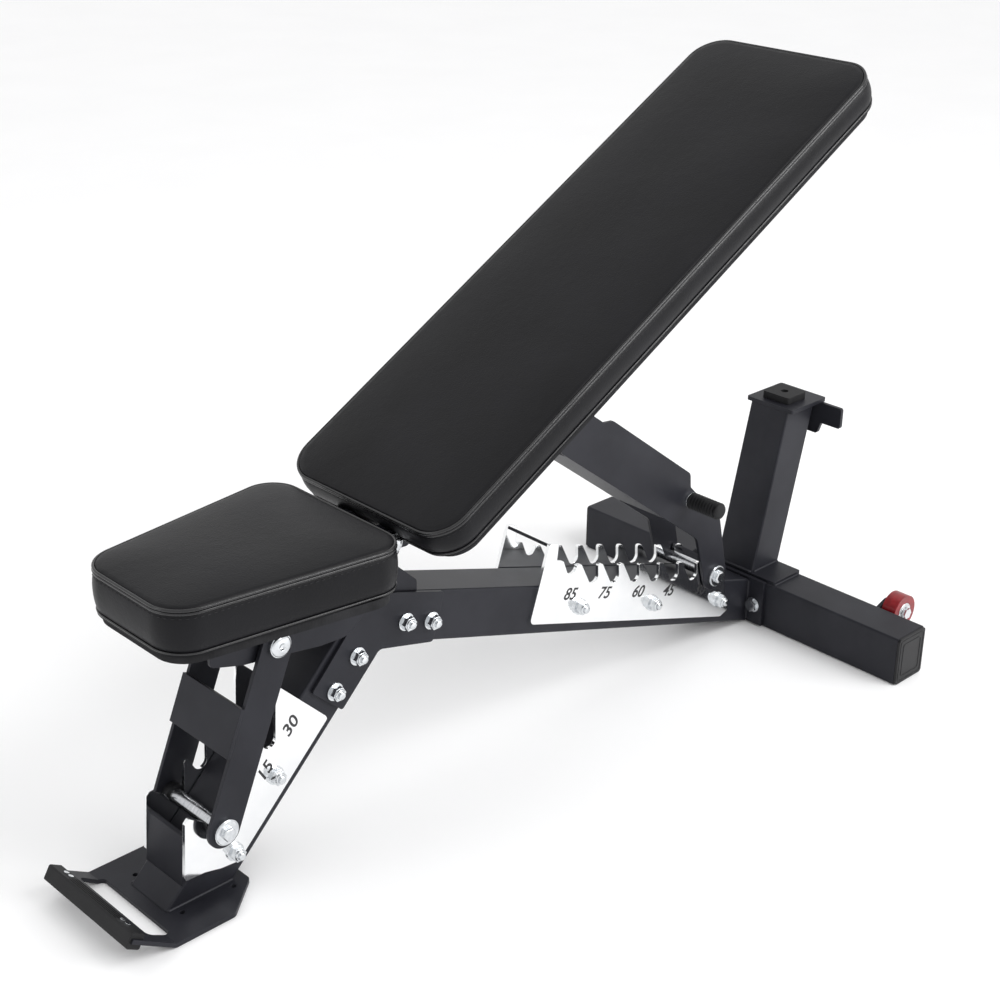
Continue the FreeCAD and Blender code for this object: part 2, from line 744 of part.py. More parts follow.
def seat_cheek_outline():
    corners = [(146, 356, 0), (146, 316, 6), (190, 303, 30), (256, 293, 30), (304, 285, 30),
               (350, 283, 30), (403, 331, 20), (433, 372, 14)]
    reach = D["ear_radius"]
    neck = [(HINGE[0] - reach, HINGE[1] - 10, 8), from_toe(377, 356) + (0,)]
    return [from_toe(x, z) + (r,) for x, z, r in corners] + around_hinge(reach) + neck


def build_seat():
    board = plan_plate("seat_board_blank", seat_plan(6.0, 40, 32), [],
                       "dimensions.pad_board_thickness", "dimensions.seat_board_bottom")
    finish(board, "seat_board")
    bottom = D["seat_board_bottom"] + D["pad_board_thickness"]
    top = bottom + D["seat_pad_thickness"]
    front = from_toe(D["seat_front_x"], 0)[0]
    rear = from_toe(D["seat_rear_x"], 0)[0]
    plan = plan_plate("seat_pad_plan", seat_plan(0.0, 48, 38), [], 80.0, "%f" % (bottom - 10))
    side_view = centred_plate("seat_pad_side", [(front, bottom), (rear, bottom), (rear, top, 30),
                                                (front, top, 14)], [], "320")
    finish(common_of("seat_pad_common", plan, side_view), "seat_pad")
    circles = [HINGE + (D["hinge_bore_radius"],), SEAT_PIVOT + (6.0,)]
    for side_name, side in SIDES:
        plate = side_plate("seat_cheek_" + side_name, seat_cheek_outline(), circles,
                           "dimensions.plate_thickness", "dimensions.back_arm_half_width", side)
        finish(plate, "seat_side_plate_" + side_name)
    cross_x = from_toe(160, 0)[0]
    cross = box("seat_cross_block", (cross_x, -45, 326), (6, 90, 30))
    finish(cross, "seat_cross_plate")


def link_outline(first, second, half):
    """A straight link with round ends about two pivots."""
    angle = math.degrees(math.atan2(second[1] - first[1], second[0] - first[0]))
    length = math.dist(first, second)
    corners = [(-half, -half), (length + half, -half), (length + half, half), (-half, half)]
    return [local_point(first, angle, a, b) + (half - 0.1,) for a, b in corners]


def end_bolt(name, centre, face, radius, head_radius):
    """A bolt right across a pair of plates, with a low round head at each end."""
    shank = cylinder_across(name + "_shank", centre, -face - 1, face + 1, radius)
    heads = [cylinder_across("%s_head_%d" % (name, i), centre, low, low + 5, head_radius)
             for i, low in enumerate((-face - 5, face))]
    return fused(name, [shank] + heads)


def build_roller(name, centre, inner):
    """A plain sleeve between a pair of arm plates, on the bolt that joins them."""
    sleeve = cylinder_across(name + "_sleeve", centre, -inner, inner, "dimensions.roller_radius")
    bore = cylinder_across(name + "_bore", centre, -inner - 1, inner + 1, "6")
    finish(cut(name + "_cut", sleeve, [bore]), name)


def build_seat_arm():
    half = D["seat_arm_width"] / 2
    face = D["seat_arm_half_width"]
    inner = face - D["plate_thickness"]
    circles = [SEAT_PIVOT + (10.06,), SEAT_ROLLER + (6.0,)]
    for side_name, side in SIDES:
        plate = side_plate("seat_link_" + side_name, link_outline(SEAT_PIVOT, SEAT_ROLLER, half),
                           circles, "dimensions.plate_thickness",
                           "dimensions.seat_arm_half_width", side)
        finish(plate, "seat_arm_" + side_name)
    angle = math.degrees(math.atan2(SEAT_ROLLER[1] - SEAT_PIVOT[1],
                                    SEAT_ROLLER[0] - SEAT_PIVOT[0]))
    web = [local_point(SEAT_PIVOT, angle, a, b) for a, b in
           ((82, -half - 5), (145, -half - 5), (145, -half), (82, -half))]
    finish(centred_plate("seat_web", web, [], "dimensions.seat_arm_half_width * 2"),
           "seat_arm_web")
    build_roller("seat_roller", SEAT_ROLLER, inner)
    spacers = []
    for side_name, side in SIDES:
        low, high = sorted((side * 43.5, side * (inner - 0.5)))
        ring = cylinder_across("seat_spacer_" + side_name, SEAT_ROLLER, low, high, "14")
        hole = cylinder_across("seat_spacer_hole_" + side_name, SEAT_ROLLER, low - 1, high + 1,
                               "dimensions.roller_radius")
        spacers.append(cut("seat_spacer_ring_" + side_name, ring, [hole]))
    finish(grouped("seat_spacer_group", spacers), "seat_roller_spacers")
    finish(end_bolt("seat_roller_bolt_fused", SEAT_ROLLER, face, "6", "17"), "seat_roller_bolt")


def build_seat_pivots():
    """Shouldered bolts that carry the seat's arm outside the seat's side plates."""
    steps = ((39, 45, "9"), (45, 50, "6"), (50, 53.6, "14"), (50, 59.3, "10"), (59.3, 64, "15"))
    bolts = []
    for side_name, side in SIDES:
        pieces = []
        for index, (near, far, radius) in enumerate(steps):
            low, high = sorted((side * near, side * far))
            pieces.append(cylinder_across("seat_pivot_%s_%d" % (side_name, index), SEAT_PIVOT,
                                          low, high, radius))
        bolts.append(fused("seat_pivot_" + side_name, pieces))
    finish(grouped("seat_pivot_group", bolts), "seat_pivot_bolts")


# ---------------------------------------------------------------- backrest

def on_backrest(obj):
    obj.Placement = FreeCAD.Placement(V(BACK_DATUM[0], 0, BACK_DATUM[1]),
                                      FreeCAD.Rotation(Y_AXIS, -D["back_angle"]))
    return obj


def back_plan(margin, start):
    length = D["back_pad_length"] - margin
    half = D["back_pad_width"] / 2 - margin
    radius = 45 - margin
    return [(start, -half, radius), (length, -half, radius), (length, half, radius),
            (start, half, radius)]


def build_back_pad():
    board = plan_plate("back_board_blank", back_plan(8, 10), [],
                       "dimensions.pad_board_thickness", "0")
    finish(on_backrest(board), "back_board")
    bottom = D["pad_board_thickness"]
    top = bottom + D["back_pad_thickness"]
    length = D["back_pad_length"]
    plan = plan_plate("back_pad_plan", back_plan(0, 6), [], 80.0, "%f" % (bottom - 10))
    side_view = centred_plate("back_pad_side", [(6, bottom), (length, bottom), (length, top, 12),
                                                (6, top, 30)], [], "320")
    finish(on_backrest(common_of("back_pad_common", plan, side_view)), "back_pad")


def back_plate(name, corners, circles, thickness, outer_face, side):
    outline = [back_point(a, b) + (radius,) for a, b, radius in corners]
    return side_plate(name, outline, circles, thickness, outer_face, side)


def build_back_frame():
    start = back_point(20, -D["back_rail_depth"] / 2)
    rail = padded_body("back_rail_blank", "YZ_Plane",
                       hollow_section(D["back_rail_width"], D["back_rail_depth"]), [], 830.0)
    placed(rail, start[0], 0, start[1], Y_AXIS, -D["back_angle"])
    finish(rail, "back_rail")
    along, up = HINGE_IN_BACK
    reach = D["ear_radius"]
    lug = [(along - reach, up + reach, reach - 0.1), (along - reach, up - reach, reach - 0.1),
           (12, -24, 8), (112, -24, 6), (112, -0.5, 2), (5, -0.5, 3),
           (along + reach, up + reach, reach - 0.1)]
    outer = "dimensions.back_rail_width / 2 + 6"
    bore = [HINGE + (D["hinge_bore_radius"],)]
    lugs = [back_plate("back_lug_" + side_name, lug, bore, "6", outer, side)
            for side_name, side in SIDES]
    finish(grouped("back_lug_group", lugs), "back_hinge_lugs")
    drop = -ARM_PIVOT_DROP
    pivot_lug = [(ARM_PIVOT_ALONG - 45, -0.5, 2), (ARM_PIVOT_ALONG - 17, drop - 17, 16),
                 (ARM_PIVOT_ALONG + 17, drop - 17, 16), (ARM_PIVOT_ALONG + 45, -0.5, 2)]
    lugs = [back_plate("arm_lug_" + side_name, pivot_lug, [ARM_PIVOT + (8.0,)], "6", outer, side)
            for side_name, side in SIDES]
    finish(grouped("arm_lug_group", lugs), "arm_pivot_lugs")


def back_arm_outline():
    """A broad plate, relieved near its pivot and hooked down to the roller."""
    end = 24.0
    tip_x, tip_z = direction(-36)
    ax, az = direction(ARM_SLOPE)
    dx = BACK_ROLLER[0] - ARM_PIVOT[0]
    dz = BACK_ROLLER[1] - ARM_PIVOT[1]
    roller = (dx * ax + dz * az, -dx * az + dz * ax)
    tip = [(roller[0] + end * (tip_x - across * tip_z), roller[1] + end * (tip_z + across * tip_x),
            end - 0.1) for across in (1, -1)]
    corners = [(-28, 28, 27.9), (106, 28, 6), (122, 37.5, 8), (335, 37.5, 12), (350, 21, 6),
               (452, 6.6, 20)]
    corners += tip + [(423, -38, 25), (58, -38, 12), (22, -28, 12), (-28, -28, 27.9)]
    return [arm_point(a, b) + (radius,) for a, b, radius in corners]


def build_back_arm():
    face = D["back_arm_half_width"]
    inner = face - D["plate_thickness"]
    circles = [ARM_PIVOT + (8.08,), BACK_ROLLER + (6.0,)]
    for side_name, side in SIDES:
        plate = side_plate("back_link_" + side_name, back_arm_outline(), circles,
                           "dimensions.plate_thickness", "dimensions.back_arm_half_width", side)
        finish(plate, "back_arm_" + side_name)
    web = [arm_point(a, b) for a, b in ((70, -38), (332, -38), (332, -33), (70, -33))]
    finish(centred_plate("back_web", web, [], "%f" % (inner * 2)), "back_arm_web")
    build_roller("back_roller", BACK_ROLLER, inner)
    finish(end_bolt("back_roller_bolt_fused", BACK_ROLLER, face, "6", "17"), "back_roller_bolt")
    grip_centre = arm_point(361, 5)
    rod = cylinder_across("handle_rod_body", grip_centre, -face - 57, -face, "7")
    collar = cylinder_across("handle_collar", grip_centre, -face - 4, -face, "12")
    finish(fused("handle_rod_fused", [rod, collar]), "handle_rod")
    sleeve_low = -face - 4 - D["grip_length"]
    grip = cylinder_across("grip_blank", grip_centre, sleeve_low, -face - 4,
                           "dimensions.grip_radius")
    hole = cylinder_across("grip_hole", grip_centre, sleeve_low + 2, -face, "7")
    finish(cut("grip_cut", grip, [hole]), "handle_grip")


def build_arm_pivot():
    """A pin through the backrest's lugs and the arm, with spacers and heads."""
    lug_face = D["back_rail_width"] / 2 + 6
    inner = D["back_arm_half_width"] - D["plate_thickness"]
    face = D["back_arm_half_width"]
    pieces = [cylinder_across("arm_pin_shank", ARM_PIVOT, -face - 2, face + 2, "8")]
    for side_name, side in SIDES:
        for index, (near, far, radius) in enumerate(((lug_face, inner - 0.3, "13"),
                                                     (face + 0.4, face + 6, "14"))):
            low, high = sorted((side * near, side * far))
            pieces.append(cylinder_across("arm_pin_%s_%d" % (side_name, index), ARM_PIVOT, low,
                                          high, radius))
    finish(fused("arm_pin", pieces), "arm_pivot_pin")


# ---------------------------------------------------------------- build, check, write

def check_document():
    for obj in doc.Objects:
        states = set(obj.State)
        if states & {"Invalid", "Error"}:
            raise RuntimeError("failed object: %s %s" % (obj.Label, obj.State))
    for obj in nodes:
        shape = obj.Shape
        if shape.isNull() or not shape.isValid() or not shape.Solids:
            raise RuntimeError("bad shape: " + obj.Label)


def write_parts():
    os.makedirs("parts", exist_ok=True)
    for obj in nodes:
        obj.Shape.exportStep("parts/%s.step" % obj.Label)
        print("%-24s solids %2d  volume %10.0f" % (obj.Label, len(obj.Shape.Solids),
                                                   obj.Shape.Volume))


build_foot_plate()
build_foot_cover()
build_toe_plate()
build_leg_tube()
build_spine_tube()
build_frame_plates()
build_tie_rod()
build_frame_fasteners()
build_rear_flange()
build_crossbar()
build_post()
build_storage_foot()
build_wheels()
build_hinge_shaft()
build_seat()
build_seat_arm()
build_seat_pivots()
build_back_pad()
build_back_frame()
build_back_arm()
build_arm_pivot()
doc.recompute()
check_document()
write_parts()
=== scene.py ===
import json
import math

import bmesh
import bpy
from mathutils import Matrix, Vector, noise


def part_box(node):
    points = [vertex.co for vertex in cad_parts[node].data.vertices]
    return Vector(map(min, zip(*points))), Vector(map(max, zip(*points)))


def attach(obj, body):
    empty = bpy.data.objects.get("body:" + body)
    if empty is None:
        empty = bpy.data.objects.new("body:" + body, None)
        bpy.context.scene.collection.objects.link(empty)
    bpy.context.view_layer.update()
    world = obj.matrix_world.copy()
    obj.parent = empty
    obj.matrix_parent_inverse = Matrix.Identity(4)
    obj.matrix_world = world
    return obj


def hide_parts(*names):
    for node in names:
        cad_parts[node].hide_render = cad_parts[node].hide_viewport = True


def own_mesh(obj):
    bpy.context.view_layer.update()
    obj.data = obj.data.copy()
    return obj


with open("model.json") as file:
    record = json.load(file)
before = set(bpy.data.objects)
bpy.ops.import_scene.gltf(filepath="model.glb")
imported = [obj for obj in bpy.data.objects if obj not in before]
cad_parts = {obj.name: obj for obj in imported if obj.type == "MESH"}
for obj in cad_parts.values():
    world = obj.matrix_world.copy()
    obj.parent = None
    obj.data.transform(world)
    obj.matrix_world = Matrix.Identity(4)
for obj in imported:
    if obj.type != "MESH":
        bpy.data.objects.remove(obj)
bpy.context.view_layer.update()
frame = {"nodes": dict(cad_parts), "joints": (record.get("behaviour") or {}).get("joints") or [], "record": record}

# Metres, in the CAD's own frame: +X to the head end, -Y the handle side, +Z up.
MM = 0.001
JOINT = {joint["name"]: joint for joint in frame["joints"]}
HINGE = Vector(JOINT["back_hinge"]["pos_m"])
TOE_X = HINGE.x - 0.418
BACK_ANGLE = 29.5
SPINE_SLOPE = -18.0
SPINE_HEIGHT_AT_TOE = 0.3768
LEG_SLOPE = 45.0
LEG_FROM_TOE = 0.162
FOOT_BEND = 31.0
BACK_LENGTH = 0.9165
LADDER_FACE = 0.04305
LABEL_SIZE = 0.025
TUBE_FACE = 0.0385
WELD_RADIUS = 0.0024
HINGE_IN_BACK = Vector((-12.6, 0.0, 18.7)) * MM
NEAR, FAR = -1, 1
SIDES = (("near", NEAR), ("far", FAR))


# ------------------------------------------------------------------ places

def slope_frame(origin, degrees):
    """Local X runs up the slope, local Y stays, local Z is square to the slope."""
    return Matrix.Translation(origin) @ Matrix.Rotation(-math.radians(degrees), 4, "Y")


def mid(node):
    low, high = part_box(node)
    return (Vector(low) + Vector(high)) / 2


def islands(node):
    """The low and high corners of each separate solid in a CAD node."""
    mesh = bmesh.new()
    mesh.from_mesh(frame["nodes"][node].data)
    bmesh.ops.remove_doubles(mesh, verts=mesh.verts, dist=1e-5)
    left = set(mesh.verts)
    boxes = []
    while left:
        stack = [left.pop()]
        points = []
        while stack:
            vertex = stack.pop()
            points.append(vertex.co.copy())
            for edge in vertex.link_edges:
                other = edge.other_vert(vertex)
                if other in left:
                    left.remove(other)
                    stack.append(other)
        low = Vector([min(p[i] for p in points) for i in range(3)])
        high = Vector([max(p[i] for p in points) for i in range(3)])
        boxes.append((low, high))
    mesh.free()
    return sorted(boxes, key=lambda pair: tuple(round(v, 4) for v in pair[0]))


BACK_FRAME = slope_frame(HINGE, BACK_ANGLE) @ Matrix.Translation(-HINGE_IN_BACK)


# ------------------------------------------------------------------ materials

def material(name, **sockets):
    """A new Principled material; every constant is set on the shader's own socket."""
    mat = bpy.data.materials.new(name)
    mat.use_nodes = True
    shader = mat.node_tree.nodes["Principled BSDF"]
    for socket, value in sockets.items():
        shader.inputs[socket.replace("_", " ")].default_value = value
    return mat


def add(mat, kind, **inputs):
    node = mat.node_tree.nodes.new("ShaderNode" + kind)
    for socket, value in inputs.items():
        node.inputs[socket.replace("_", " ")].default_value = value
    return node


def link(mat, source, target, output=0):
    mat.node_tree.links.new(source.outputs[output], target)


def shader_of(mat):
    return mat.node_tree.nodes["Principled BSDF"]


def place(mat, stretch=(1, 1, 1), turn=(0, 0, 0)):
    """Object coordinates, in metres, stretched and turned."""
    coordinates = add(mat, "TexCoord")
    mapping = add(mat, "Mapping", Scale=stretch, Rotation=turn)
    link(mat, coordinates, mapping.inputs["Vector"], output=3)
    return mapping


def speckle(mat, scale, detail=4.0, rough=0.55, stretch=(1, 1, 1), turn=(0, 0, 0)):
    texture = add(mat, "TexNoise", Scale=scale, Detail=detail, Roughness=rough)
    link(mat, place(mat, stretch, turn), texture.inputs["Vector"])
    return texture


def cells(mat, scale, smooth=0.4):
    texture = add(mat, "TexVoronoi", Scale=scale)
    texture.feature = "SMOOTH_F1"
    texture.inputs["Smoothness"].default_value = smooth
    link(mat, place(mat), texture.inputs["Vector"])
    return texture


def tint(mat, source, dark, light, low=0.35, high=0.65):
    """Base colour between two tones, following a texture."""
    ramp = add(mat, "ValToRGB")
    ramp.color_ramp.elements[0].position = low
    ramp.color_ramp.elements[0].color = dark + (1,)
    ramp.color_ramp.elements[1].position = high
    ramp.color_ramp.elements[1].color = light + (1,)
    link(mat, source, ramp.inputs["Fac"])
    link(mat, ramp, shader_of(mat).inputs["Base Color"])
    return ramp


def gloss(mat, source, low, high):
    """Roughness between two values, following a texture."""
    spread = add(mat, "MapRange")
    spread.inputs["To Min"].default_value = low
    spread.inputs["To Max"].default_value = high
    link(mat, source, spread.inputs["Value"])
    link(mat, spread, shader_of(mat).inputs["Roughness"])


def relief(mat, layers, soft_edge=0.0):
    """Bumps in layers of (texture, height in metres), over softly rounded edges."""
    below = None
    if soft_edge:
        below = add(mat, "Bevel", Radius=soft_edge)
        below.samples = 4
    for texture, height in layers:
        bump = add(mat, "Bump", Distance=height)
        bump.inputs["Strength"].default_value = 1.0
        link(mat, texture, bump.inputs["Height"])
        if below:
            link(mat, below, bump.inputs["Normal"])
        below = bump
    link(mat, below, shader_of(mat).inputs["Normal"])


def make_graphite_coat():
    """Charcoal powder coat: a fine orange-peel skin with a faint metallic fleck."""
    mat = material("graphite_coat", Metallic=0.2, Specular_IOR_Level=0.26)
    clouds = speckle(mat, 14.0, 6.0)
    tint(mat, clouds, (0.0135, 0.0138, 0.0185), (0.0200, 0.0205, 0.0265))
    fleck = speckle(mat, 1800.0, 2.0)
    gloss(mat, fleck, 0.36, 0.54)
    relief(mat, [(speckle(mat, 650.0, 3.0), 0.00009), (fleck, 0.00003)], soft_edge=0.0012)
    return mat


def make_polished_plate():
    """Bright plated steel: nearly a mirror, with hairline polishing marks and clouding."""
    mat = material("polished_plate", Metallic=1.0)
    clouds = speckle(mat, 22.0, 5.0)
    tint(mat, clouds, (0.90, 0.91, 0.92), (0.95, 0.955, 0.96))
    hairlines = speckle(mat, 90.0, 6.0, 0.7, stretch=(1, 1, 14), turn=(0, 0.31, 0))
    gloss(mat, hairlines, 0.04, 0.13)
    relief(mat, [(hairlines, 0.000006), (clouds, 0.00005)], soft_edge=0.0006)
    return mat


def make_zinc():
    """Bright zinc plating, patchy and slightly grained."""
    mat = material("zinc_hardware", Metallic=1.0)
    patches = speckle(mat, 160.0, 5.0)
    tint(mat, patches, (0.62, 0.64, 0.66), (0.76, 0.78, 0.80))
    gloss(mat, patches, 0.10, 0.24)
    relief(mat, [(speckle(mat, 1500.0, 2.0), 0.00001)], soft_edge=0.0005)
    return mat


def make_turned_steel():
    mat = material("roller_steel", Metallic=1.0)
    rings = speckle(mat, 60.0, 4.0, 0.6, stretch=(1, 30, 1))
    tint(mat, rings, (0.42, 0.43, 0.45), (0.66, 0.67, 0.69))
    gloss(mat, rings, 0.16, 0.34)
    relief(mat, [(rings, 0.00003)], soft_edge=0.0004)
    return mat


def make_vinyl():
    """Black upholstery vinyl: pebbled grain, soft creases, satin with worn patches."""
    mat = material("pad_vinyl", Specular_IOR_Level=0.18)
    wear = speckle(mat, 9.0, 5.0)
    tint(mat, wear, (0.0034, 0.0034, 0.0044), (0.0060, 0.0060, 0.0076))
    gloss(mat, wear, 0.36, 0.48)
    pebbles = cells(mat, 620.0)
    creases = speckle(mat, 45.0, 5.0, 0.6)
    relief(mat, [(creases, 0.0004), (pebbles, 0.00018), (speckle(mat, 1500.0, 2.0), 0.00005)])
    return mat


def make_piping():
    """The same vinyl pulled tight over a cord, so it shines more."""
    mat = material("piping_vinyl", Specular_IOR_Level=0.55)
    stretch = speckle(mat, 60.0, 4.0)
    tint(mat, stretch, (0.0040, 0.0040, 0.0050), (0.0075, 0.0075, 0.0090))
    gloss(mat, stretch, 0.16, 0.28)
    relief(mat, [(cells(mat, 900.0), 0.00006)])
    return mat


def make_thread():
    mat = material("stitch_thread", Specular_IOR_Level=0.3)
    twist = speckle(mat, 900.0, 3.0)
    tint(mat, twist, (0.010, 0.010, 0.011), (0.028, 0.028, 0.031))
    gloss(mat, twist, 0.45, 0.7)
    relief(mat, [(twist, 0.0001)])
    return mat


def make_board():
    """Black backing cloth over the pad boards, with a fine plain weave."""
    mat = material("board_black", Specular_IOR_Level=0.2)
    weave = add(mat, "TexWave", Scale=420.0, Distortion=1.2, Detail=2.0)
    link(mat, place(mat), weave.inputs["Vector"])
    cross = add(mat, "TexWave", Scale=420.0, Distortion=1.2, Detail=2.0)
    cross.bands_direction = "Y"
    link(mat, place(mat), cross.inputs["Vector"])
    tint(mat, speckle(mat, 30.0, 5.0), (0.010, 0.010, 0.011), (0.022, 0.022, 0.024))
    gloss(mat, weave, 0.70, 0.90)
    relief(mat, [(weave, 0.0001), (cross, 0.0001)])
    return mat


def make_rubber():
    mat = material("black_rubber", Specular_IOR_Level=0.28)
    bloom = speckle(mat, 35.0, 6.0)
    tint(mat, bloom, (0.006, 0.006, 0.007), (0.012, 0.012, 0.013))
    gloss(mat, bloom, 0.50, 0.72)
    relief(mat, [(speckle(mat, 900.0, 3.0), 0.00012)], soft_edge=0.0012)
    return mat


def make_plastic():
    mat = material("black_plastic", Specular_IOR_Level=0.30)
    mould = speckle(mat, 700.0, 2.0)
    tint(mat, speckle(mat, 25.0, 4.0), (0.007, 0.007, 0.008), (0.012, 0.012, 0.0135))
    gloss(mat, mould, 0.38, 0.52)
    relief(mat, [(mould, 0.00008)], soft_edge=0.0010)
    return mat


def make_tyre():
    """Red cast polyurethane, a little dulled where it rolls."""
    mat = material("wheel_tyre", Coat_Weight=0.15, Coat_Roughness=0.25, Subsurface_Weight=0.03)
    scuff = speckle(mat, 120.0, 6.0)
    tint(mat, scuff, (0.17, 0.0012, 0.004), (0.26, 0.0025, 0.008))
    gloss(mat, scuff, 0.24, 0.45)
    relief(mat, [(scuff, 0.00008)], soft_edge=0.0012)
    return mat


def make_hub():
    mat = material("wheel_hub", Metallic=1.0)
    grain = speckle(mat, 420.0, 4.0)
    tint(mat, grain, (0.52, 0.53, 0.54), (0.74, 0.75, 0.76))
    gloss(mat, grain, 0.25, 0.42)
    relief(mat, [(grain, 0.00006)], soft_edge=0.0008)
    return mat


def make_label_ink():
    mat = material("label_ink")
    wear = speckle(mat, 260.0, 5.0)
    tint(mat, wear, (0.010, 0.010, 0.011), (0.020, 0.020, 0.022))
    gloss(mat, wear, 0.35, 0.55)
    relief(mat, [(wear, 0.00002)])
    return mat


def make_weld():
    mat = material("weld_coat", Metallic=0.2, Specular_IOR_Level=0.32)
    scale = speckle(mat, 300.0, 5.0)
    tint(mat, scale, (0.0155, 0.0158, 0.0205), (0.0240, 0.0245, 0.0310))
    gloss(mat, scale, 0.36, 0.56)
    relief(mat, [(scale, 0.0002)])
    return mat


MATERIALS = {
    "graphite_coat": make_graphite_coat(),
    "polished_plate": make_polished_plate(),
    "zinc_hardware": make_zinc(),
    "roller_steel": make_turned_steel(),
    "pad_vinyl": make_vinyl(),
    "board_black": make_board(),
    "black_rubber": make_rubber(),
    "black_plastic": make_plastic(),
    "wheel_tyre": make_tyre(),
    "wheel_hub": make_hub(),
}
PIPING_VINYL = make_piping()
THREAD = make_thread()
INK = make_label_ink()
WELD = make_weld()


def paint_frame():
    """Give every CAD node the material of its slot in the record."""
    for part in frame["record"]["subparts"]:
        mesh = frame["nodes"][part["node"]].data
        mesh.materials.clear()
        mesh.materials.append(MATERIALS[part["material_slot"]])


# ------------------------------------------------------------------ mesh helpers

def piece(name, verts, faces, mat, body, smooth=True):
    """A new visible piece that rides on a body."""
    mesh = bpy.data.meshes.new(name)
    mesh.from_pydata([tuple(v) for v in verts], [], faces)
    clean = bmesh.new()
    clean.from_mesh(mesh)
    bmesh.ops.remove_doubles(clean, verts=clean.verts, dist=1e-5)
    bmesh.ops.recalc_face_normals(clean, faces=clean.faces)
    clean.to_mesh(mesh)
    clean.free()
    mesh.materials.append(mat)
    for polygon in mesh.polygons:
        polygon.use_smooth = smooth
    obj = bpy.data.objects.new(name, mesh)
    bpy.context.scene.collection.objects.link(obj)
    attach(obj, body)
    return obj


class Build:
    """Collects vertices and faces, so that many small shapes share one piece."""

    def __init__(self):
        self.verts = []
        self.faces = []

    def loft(self, rings, closed=True, caps=True):
        """Skin a list of rings that all have the same number of points."""
        start = len(self.verts)
        count = len(rings[0])
        for ring in rings:
            self.verts.extend(ring)
        around = count if closed else count - 1
        for row in range(len(rings) - 1):
            for i in range(around):
                j = (i + 1) % count
                a = start + row * count
                b = a + count
                self.faces.append((a + i, a + j, b + j, b + i))
        if caps:
            last = start + (len(rings) - 1) * count
            self.faces.append(tuple(reversed(range(start, start + count))))
            self.faces.append(tuple(range(last, last + count)))

    def tube(self, path, radius, up, segments=10, loop=True, ripple=0.0):
        """A round bead along a path; ripple swells it a little at every other point."""
        count = len(path)
        rings = []
        for i, point in enumerate(path):
            ahead = path[(i + 1) % count] if loop or i < count - 1 else point
            behind = path[i - 1] if loop or i else point
            along = (ahead - behind).normalized()
            side = along.cross(up).normalized()
            top = side.cross(along)
            size = radius * (1 + (ripple if i % 2 else -ripple))
            rings.append([point + (side * math.cos(t) + top * math.sin(t)) * size
                          for t in (math.tau * k / segments for k in range(segments))])
        if loop:
            rings.append(rings[0])
        self.loft(rings, caps=not loop)

    def lathe(self, centre, axis, profile, segments=40, turn=0.0):
        """Revolve (distance along the axis, radius) pairs about an axis, in metres."""
        axis = Vector(axis).normalized()
        across = axis.orthogonal().normalized()
        other = axis.cross(across)
        rings = []
        for along, radius in profile:
            rings.append([centre + axis * along + (across * math.cos(t) + other * math.sin(t))
                          * max(radius, 1e-5)
                          for t in (turn + math.tau * k / segments for k in range(segments))])
        self.loft(rings)

    def finish(self, name, mat, body, slot, smooth=True):
        return piece(name, self.verts, self.faces, mat, body, smooth)


def rounded_loop(corners, spacing):
    """Evenly spaced points round a polygon of (x, y, corner radius)."""
    dense = []
    count = len(corners)
    for i, (x, y, radius) in enumerate(corners):
        here = Vector((x, y))
        back = (Vector(corners[i - 1][:2]) - here).normalized()
        ahead = (Vector(corners[(i + 1) % count][:2]) - here).normalized()
        half = back.angle(ahead) / 2
        centre = here + (back + ahead).normalized() * (radius / math.sin(half))
        start = here + back * (radius / math.tan(half)) - centre
        end = here + ahead * (radius / math.tan(half)) - centre
        sweep = start.angle_signed(end)
        for k in range(25):
            turn = -sweep * k / 24
            dense.append(centre + Vector((start.x * math.cos(turn) - start.y * math.sin(turn),
                                          start.x * math.sin(turn) + start.y * math.cos(turn))))
    total = 0.0
    marks = [0.0]
    for i in range(len(dense)):
        total += (dense[(i + 1) % len(dense)] - dense[i]).length
        marks.append(total)
    steps = 2 * round(total / spacing / 2)
    loop = []
    j = 0
    for k in range(steps):
        want = total * k / steps
        while marks[j + 1] < want:
            j += 1
        span = marks[j + 1] - marks[j]
        part = (want - marks[j]) / span if span else 0.0
        loop.append(dense[j].lerp(dense[(j + 1) % len(dense)], part))
    return loop


def outward(loop):
    """Unit normals that point out of an anticlockwise loop."""
    count = len(loop)
    normals = []
    for i in range(count):
        along = (loop[(i + 1) % count] - loop[i - 1]).normalized()
        normals.append(Vector((along.y, -along.x)))
    return normals


# ------------------------------------------------------------------ cushions

